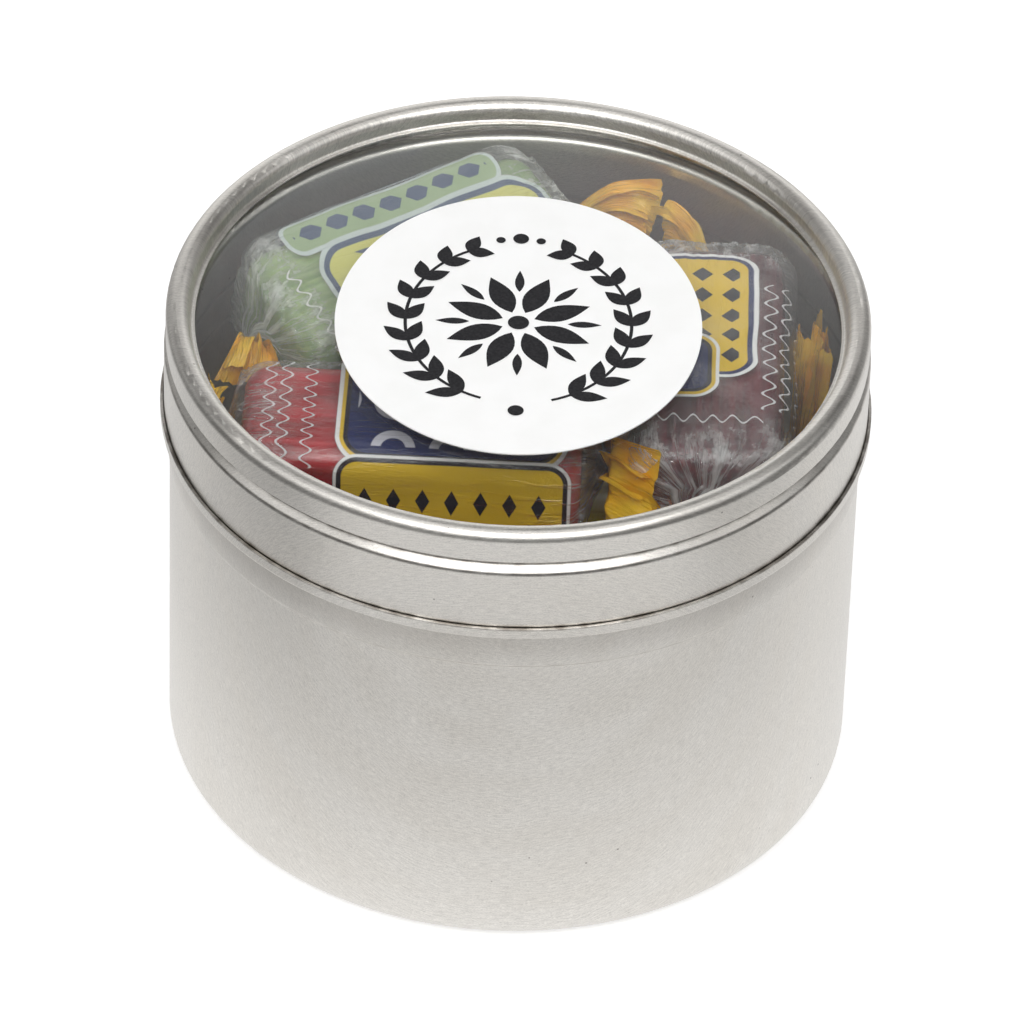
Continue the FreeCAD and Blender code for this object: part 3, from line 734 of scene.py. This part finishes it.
def dot(x, y, radius):
    rim = [round_spot(radius, math.tau * k / DOT_STEPS) for k in range(DOT_STEPS)]
    return [(x + a, y + b) for a, b in rim]


def add_print(material):
    """A rosette between two laurel sprays, flat on the label."""
    shapes = rosette() + spray(1) + spray(-1) + [dot(*row) for row in DOTS]
    vertices, faces = [], []
    for number, shape in enumerate(shapes):
        height = (LABEL_TOP + PRINT_LIFT + SHAPE_LIFT * number) * MM
        turned = sum(a[0] * b[1] - b[0] * a[1] for a, b in zip(shape, shape[1:] + shape[:1])) > 0
        ordered = shape if turned else shape[::-1]
        faces.append(list(range(len(vertices), len(vertices) + len(ordered))))
        vertices.extend((x * MM, y * MM, height) for x, y in ordered)
    add_object("label_print", vertices, faces, material, "lid", None)


# The tin's own pieces and the hard sweets keep their CAD shape and take these finishes


def dress(node, material):
    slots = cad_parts[node].data.materials
    slots.clear()
    slots.append(material)


# Body: a faint dark line at the land's step, a dark line of painted shadow just under the lid's hem, and
# below it a wide soft band of painted shadow from the lid, which stays when the lid is lifted
BODY_PAINTED_SHADE = [(LAND_Z, 0.35, 0.2, 0.25), (HEM_Z, 0.5, 0.6, 0.6), (HEM_Z - 0.4, 4.4, 0.24, 0.92)]
# Lid: dark lines in the creases at the hem, the shoulder and the groove, partly dirt and partly painted shade
LID_DIRT_AND_SHADE = [(HEM_TOP, 0.28, 0.7, 0.25), (HEM_Z, 0.2, 0.85, 0.6),
             (SHOULDER_Z, 0.22, 0.5, 0.25), (GROOVE_Z, 0.32, 0.7, 0.25)]
dress("tin_body", tinplate("body_tinplate", 0.0, 1.0, BODY_R - GAUGE / 2, BODY_PAINTED_SHADE))
dress("lid_ring", tinplate("lid_tinplate", LID_TOP, -1.0, 0.0, LID_DIRT_AND_SHADE))
dress("lid_window", clear_window())
dress("lid_label", label_paper())
add_print(label_ink())

# Candy finishes: deep and bright colour, and the turn of the streaks in degrees
CANDY_COLOURS = {
    "candy_red": ((0.26, 0.003, 0.008), (0.58, 0.014, 0.026), -1.5),
    "candy_lime": ((0.17, 0.28, 0.075), (0.33, 0.45, 0.17), 35.0),
    "candy_purple": ((0.055, 0.006, 0.012), (0.17, 0.022, 0.036), 90.0),
    "candy_amber": ((0.45, 0.13, 0.008), (0.75, 0.30, 0.02), 0.0),
    "candy_orange": ((0.62, 0.13, 0.008), (0.85, 0.24, 0.02), 0.0),
    "candy_lemon": ((0.70, 0.46, 0.02), (0.88, 0.66, 0.08), 0.0),
}
sugar = {name: boiled_sugar(name, *tones) for name, tones in CANDY_COLOURS.items()}

NAVY = (0.018, 0.028, 0.115)
INK_YELLOW = (0.78, 0.52, 0.035)
WHITE = (0.88, 0.88, 0.88)
PALE = (0.66, 0.66, 0.74)
DARK = (0.012, 0.012, 0.022)
SLATE = (0.055, 0.085, 0.16)
STRAW = (0.62, 0.60, 0.16)
MIST_GREY = (0.42, 0.48, 0.50)
MIST_PALE = (0.50, 0.55, 0.52)
MIST_WHITE = (0.55, 0.62, 0.60)
LEAF_GREEN = (0.32, 0.42, 0.24)

# Films: seed, the white of soft patches over the block, the white of the gathered ends (both partly milky
# haze and partly painted sheen), zones and lines
films = {
    "red": printed_film("red_film", 2.0, 0.022, 0.28, [
        (3.9, 9.6, -0.6, 7.3, 1.8, [(1.25, WHITE), (0.85, INK_YELLOW), (0.5, DARK), (0.1, NAVY)],
         ("rings", PALE, 2.7, 3.6, 0.62)),
        (4.1, 10.3, 12.0, 4.3, 1.5, [(0.75, WHITE), (0.45, DARK), (0.0, INK_YELLOW)],
         ("lozenges", DARK, 1.35, 3.0, 0.5)),
    ], [
        ("around", -13.4, -7.5, 8.5, 0.5, 2.2),
        ("around", -11.9, -7.5, 8.5, 0.5, 2.2),
        ("around", -9.6, -7.5, 8.5, 0.5, 1.6),
    ]),
    "green": printed_film("green_film", 5.0, 0.09, 0.75, [
        (-1.0, 9.0, -11.2, 3.4, 1.2, [(0.5, MIST_GREY), (0.1, SLATE)], ("waves", MIST_PALE, 3.0, 2.2, 0.24)),
        (0.0, 11.6, -5.2, 1.35, 1.2, [(0.45, MIST_WHITE), (0.05, LEAF_GREEN)],
         ("lozenges", SLATE, 1.5, 1.35, 0.85)),
        (1.8, 11.6, 3.6, 6.4, 2.4, [(1.1, MIST_WHITE), (0.65, SLATE), (0.1, STRAW)],
         ("rings", SLATE, 3.4, 3.8, 0.5)),
    ], [
        ("around", -13.4, -3.0, 9.0, 0.45, 1.9),
    ]),
    "purple": printed_film("purple_film", 8.0, 0.05, 0.75, [
        (-4.2, 8.2, 0.8, 4.3, 1.6, [(0.9, WHITE), (0.5, NAVY), (0.05, INK_YELLOW)],
         ("lozenges", DARK, 1.5, 1.5, 0.7)),
        (3.4, 3.6, 4.6, 4.4, 1.5, [(1.25, WHITE), (0.9, INK_YELLOW), (0.5, DARK), (0.1, NAVY)],
         ("rings", PALE, 2.4, 3.0, 0.6)),
    ], [
        ("along", -5.4, -9.0, 9.5, 0.5, 2.2),
        ("along", -6.9, -9.0, 9.5, 0.5, 2.2),
        ("along", -8.9, -5.0, 11.0, 0.4, 1.6),
        ("around", 11.2, -5.0, 5.0, 0.5, 1.9),
    ]),
    "plain": printed_film("plain_film", 11.0, 0.06, 0.75, [
        (0.0, 9.5, 0.0, 7.0, 1.6, [(0.9, WHITE), (0.5, DARK), (0.1, NAVY)],
         ("rings", PALE, 2.7, 3.4, 0.6)),
        (0.0, 9.5, 12.4, 4.0, 1.4, [(0.7, WHITE), (0.4, DARK), (0.0, INK_YELLOW)],
         ("lozenges", DARK, 1.35, 3.0, 0.5)),
    ], []),
}

# Places of the sweets: two layers on edge, and the top layer flat
LAYER_GAP = 0.1
FLOOR_Z = 0.75
LOW_Z = FLOOR_Z + LAYER_GAP + FILM_WIDE
MIDDLE_Z = LOW_Z + 2 * FILM_WIDE + LAYER_GAP
HIGH_Z = MIDDLE_Z + FILM_WIDE + LAYER_GAP + FILM_HIGH
ROWS = [(i - 1.5) * (2 * FILM_HIGH + LAYER_GAP) for i in range(4)]
GREEN_LEAN = 14.0
LEAN_SINE, LEAN_COSINE = math.sin(math.radians(GREEN_LEAN)), math.cos(math.radians(GREEN_LEAN))
GREEN_LIFT = (FILM_WIDE - FILM_ROUND) * LEAN_SINE - (FILM_HIGH - FILM_ROUND) * (1 - LEAN_COSINE)

# Tails: bends, roll in degrees, and spread
PLAIN_TAIL = ([(0, 0, 1.0)], 0, 1.0)
STANDING_TAIL = ([(25, 0, 1.95), (87, 0, 2.1)], 90, 1.0)


def turned_by(turn, lean):
    return Matrix.Rotation(math.radians(turn), 3, "Z") @ Matrix.Rotation(math.radians(lean), 3, "X")


BOTTOM = (("lime_bottom", "candy_lime"), ("cherry_bottom", "candy_red"),
          ("grape_bottom", "candy_purple"), ("amber_bottom", "candy_amber"))
MIDDLE = (("orange_middle", "candy_orange"), ("lemon_middle", "candy_lemon"),
          ("honey_middle", "candy_amber"), ("berry_middle", "candy_red"))
# Sweets: name, candy finish, middle, turn, tails, bunches, puff and film
sweets = []
for (name, finish), row in zip(BOTTOM, ROWS):
    sweets.append((name, finish, (row, 0, LOW_Z), turned_by(90, 90), (PLAIN_TAIL, PLAIN_TAIL),
                   (PLAIN_BUNCH, PLAIN_BUNCH), 0.0, "plain"))
for (name, finish), row in zip(MIDDLE, ROWS):
    stands = name == "honey_middle"
    sweets.append((name, finish, (0, row, MIDDLE_Z), turned_by(0, 90),
                   (PLAIN_TAIL, STANDING_TAIL if stands else PLAIN_TAIL),
                   (PLAIN_BUNCH, STANDING_BUNCH if stands else PLAIN_BUNCH), 0.0, "plain"))
sweets += [
    ("red_top", "candy_red", (-9.6, -8.3, HIGH_Z), turned_by(-1.5, 0),
     (([(-86, 0, 1.0)], 90, 0.8), ([(-80, 0, 1.2), (-38, 0, 1.1)], 88, 1.0)),
     ((1.5, (-0.4, 0, 0.6), NO_SHIFT, 1.2), (1.5, NO_SHIFT, (-1.0, 4.5, 2.0), 0.0)), 0.0, "red"),
    ("green_top", "candy_lime", (-10.1, 15.8, HIGH_Z + GREEN_LIFT), turned_by(35, GREEN_LEAN),
     (([(55, -20, 1.0)], 8, 0.9), ([(-46, 0, 1.35)], 50, 1.0)),
     ((2.8, (0.6, 0.4, 3.4), (0, 0, 0.6), 0.6), (2.4, (0, 0, 2.6), (0, 0, 1.2), 0.6)), 1.3, "green"),
    ("purple_top", "candy_purple", (18.0, 2.6, HIGH_Z), turned_by(-90.5, 0),
     (([(50, 0, 1.15)], 60, 0.9), ([(0, -30, 0.8)], 90, 0.8)),
     ((1.6, (0, 0, 2.4), (0, 0, 0.8), 0.0), (1.0, NO_SHIFT, NO_SHIFT, 0.0)), 0.7, "purple"),
]
for number, (name, finish, spot, spin, tails, bunches, puff, film) in enumerate(sweets):
    dress(f"{name}_candy", sugar[finish])
    in_sight = name.endswith("_top") or name == "honey_middle"
    steps = FINE_STEPS if in_sight else PLAIN_STEPS
    add_wrapper(name, spot, spin, tails, bunches, puff, films[film], 1.7 + 2.3 * number, steps)


# Camera at the photograph's angle

CAMERA_DISTANCE = 865.075
CAMERA_RISE = math.radians(40.213)
CAMERA_ROLL = math.radians(1.858)
CAMERA_LIFT = 0.934
CAMERA_LENS = 319.24
TARGET_Z = 24.0
forward = Vector((0, math.cos(CAMERA_RISE), -math.sin(CAMERA_RISE)))
right = Vector((1, 0, 0))
up = right.cross(forward)
across = right * math.cos(CAMERA_ROLL) + up * math.sin(CAMERA_ROLL)
upright = up * math.cos(CAMERA_ROLL) - right * math.sin(CAMERA_ROLL)
eye = Vector((0, 0, TARGET_Z)) - forward * CAMERA_DISTANCE + upright * CAMERA_LIFT
turn = Matrix((across, upright, -forward)).transposed().to_4x4()
camera_data = bpy.data.cameras.new("camera")
camera_data.sensor_width = 36.0
camera_data.lens = CAMERA_LENS
camera_data.clip_start = 0.01
camera = bpy.data.objects.new("camera", camera_data)
camera.matrix_world = Matrix.Translation(eye * MM) @ turn
bpy.context.scene.collection.objects.link(camera)
bpy.context.scene.camera = camera
bpy.context.scene.view_settings.view_transform = "Standard"


# Stage: pale floor, backdrop, room and softboxes


def stage_plane(name, corners, material):
    mesh = bpy.data.meshes.new(name)
    mesh.from_pydata(corners, [], [(0, 1, 2, 3)])
    mesh.materials.append(material)
    plane = bpy.data.objects.new(name, mesh)
    bpy.context.scene.collection.objects.link(plane)
    return plane


def seen_rays(p):
    """Two shares: rays from the camera, and those with the rays off metal and through clear pieces."""
    light = p.node("ShaderNodeLightPath").outputs
    both = p.larger(light["Is Camera Ray"], light["Is Glossy Ray"])
    return light["Is Camera Ray"], p.larger(both, light["Is Transmission Ray"])


# The floor as metal sees it: the radius from which distances from the tin count, its least level,
# and a bright stretch in front of the tin that lights the lid's skirt: its level, the distances
# over which it starts and ends, and how far it goes round
TIN_EDGE = 33.0
LEAST_LEVEL = 0.16
CARD_LEVEL = 0.98
CARD_START, CARD_END = (44.0, 51.0), (110.0, 140.0)
CARD_ROUND = (-0.72, -0.45)


def floor_finish():
    """Pale sheet, white but for the tin's shadow; metal sees it fall off into the dark room."""
    p = Paint("floor_sheet")
    point = p.point()
    x, y, _ = p.split(point)
    straight, seen = seen_rays(p)
    radius = p.length(x, y)
    gap = p.larger(p.minus(radius, TIN_EDGE), 0.0)
    toward = p.over(y, p.larger(radius, 1.0))
    aside = p.over(x, p.larger(radius, 1.0))
    fall = p.plus(p.ramp(toward, -0.9, 0.9, 0.0098, 0.0022), p.times(aside, -0.0018))
    ahead = p.larger(p.minus(1.0, p.times(gap, fall)), LEAST_LEVEL)
    card = p.times(p.ramp(gap, *CARD_START, 0.0, CARD_LEVEL), p.ramp(toward, *CARD_ROUND, 1.0, 0.0))
    card = p.times(card, p.ramp(gap, *CARD_END, 1.0, 0.0))
    mirrored = p.shader("Emission", Color=(1, 1, 1), Strength=p.larger(ahead, card))
    tint = p.blend(p.noise(point, 0.02, 2.0), (0.76, 0.76, 0.76), (0.80, 0.80, 0.80))
    sheet = p.shader("BsdfDiffuse", Color=tint)
    lift = p.shader("Emission", Color=(1, 1, 1), Strength=p.ramp(radius, 70.0, 260.0, 0.46, 1.0))
    shown = p.mix_shader(straight, mirrored, p.add_shader(sheet, lift))
    return p.finish(p.mix_shader(seen, sheet, shown))


def backdrop_finish():
    """Pale sheet behind the tin that fades upwards and to both sides in the metal."""
    p = Paint("backdrop_sheet")
    x, _, z = p.split(p.point())
    straight, seen = seen_rays(p)
    sides = p.times(p.ramp(x, -220.0, -90.0, 0.40, 1.0), p.ramp(x, 80.0, 200.0, 1.0, 0.28))
    fade = p.times(p.ramp(z, 226.0, 284.0, 1.0, 0.03), sides)
    glow = p.shader("Emission", Color=(1, 1, 1), Strength=p.larger(straight, fade))
    return p.finish(p.mix_shader(seen, p.shader("BsdfDiffuse", Color=(0.7, 0.7, 0.7)), glow))


FAR = 3.0
stage_plane("floor", [(-FAR, -FAR, 0), (FAR, -FAR, 0), (FAR, FAR, 0), (-FAR, FAR, 0)], floor_finish())
BACK_Y, BACK_HALF, BACK_TALL = 0.25, 0.6, 0.5
back_corners = [(-BACK_HALF, BACK_Y, 0), (BACK_HALF, BACK_Y, 0),
                (BACK_HALF, BACK_Y, BACK_TALL), (-BACK_HALF, BACK_Y, BACK_TALL)]
backdrop = stage_plane("backdrop", back_corners, backdrop_finish())
backdrop.visible_camera = False
backdrop.visible_shadow = False

ROOM_LEVEL = 0.14
world = bpy.data.worlds.new("room")
world.use_nodes = True
bpy.context.scene.world = world
room = world.node_tree
room.nodes.clear()
path = room.nodes.new("ShaderNodeLightPath")
level = room.nodes.new("ShaderNodeMapRange")
room.links.new(path.outputs["Is Camera Ray"], level.inputs["Value"])
level.inputs["To Min"].default_value = ROOM_LEVEL
level.inputs["To Max"].default_value = 1.0
sky = room.nodes.new("ShaderNodeBackground")
room.links.new(level.outputs["Result"], sky.inputs["Strength"])
sky.inputs["Color"].default_value = (1, 1, 1, 1)
room.links.new(sky.outputs[0], room.nodes.new("ShaderNodeOutputWorld").inputs["Surface"])

LAMP_DISTANCE = 0.9
AIM = Vector((0, 0, 0.03))
# Softboxes that face the tin: name, azimuth from the camera's side, rise, width, height, watts
SOFTBOXES = (
    ("key", 0, 66, 0.9, 0.6, 2.9),
    ("front", 0, 48, 0.9, 0.4, 2.7),
    ("spark_left", -28, 52, 0.07, 0.07, 0.4),
    ("spark_right", 35, 58, 0.07, 0.07, 0.4),
    ("left", -80, 42, 0.5, 0.7, 0.9),
    ("right", 80, 42, 0.5, 0.7, 0.8),
    ("top", 180, 74, 0.8, 0.35, 0.8),
)
for name, azimuth, rise, wide, tall, power in SOFTBOXES:
    a, e = math.radians(azimuth), math.radians(rise)
    way = Vector((math.sin(a) * math.cos(e), -math.cos(a) * math.cos(e), math.sin(e)))
    lamp = bpy.data.lights.new(name, "AREA")
    lamp.shape = "RECTANGLE"
    lamp.size, lamp.size_y = wide, tall
    lamp.energy = power
    holder = bpy.data.objects.new(name, lamp)
    facing = (-way).to_track_quat("-Z", "Y").to_matrix().to_4x4()
    holder.matrix_world = Matrix.Translation(AIM + way * LAMP_DISTANCE) @ facing
    bpy.context.scene.collection.objects.link(holder)
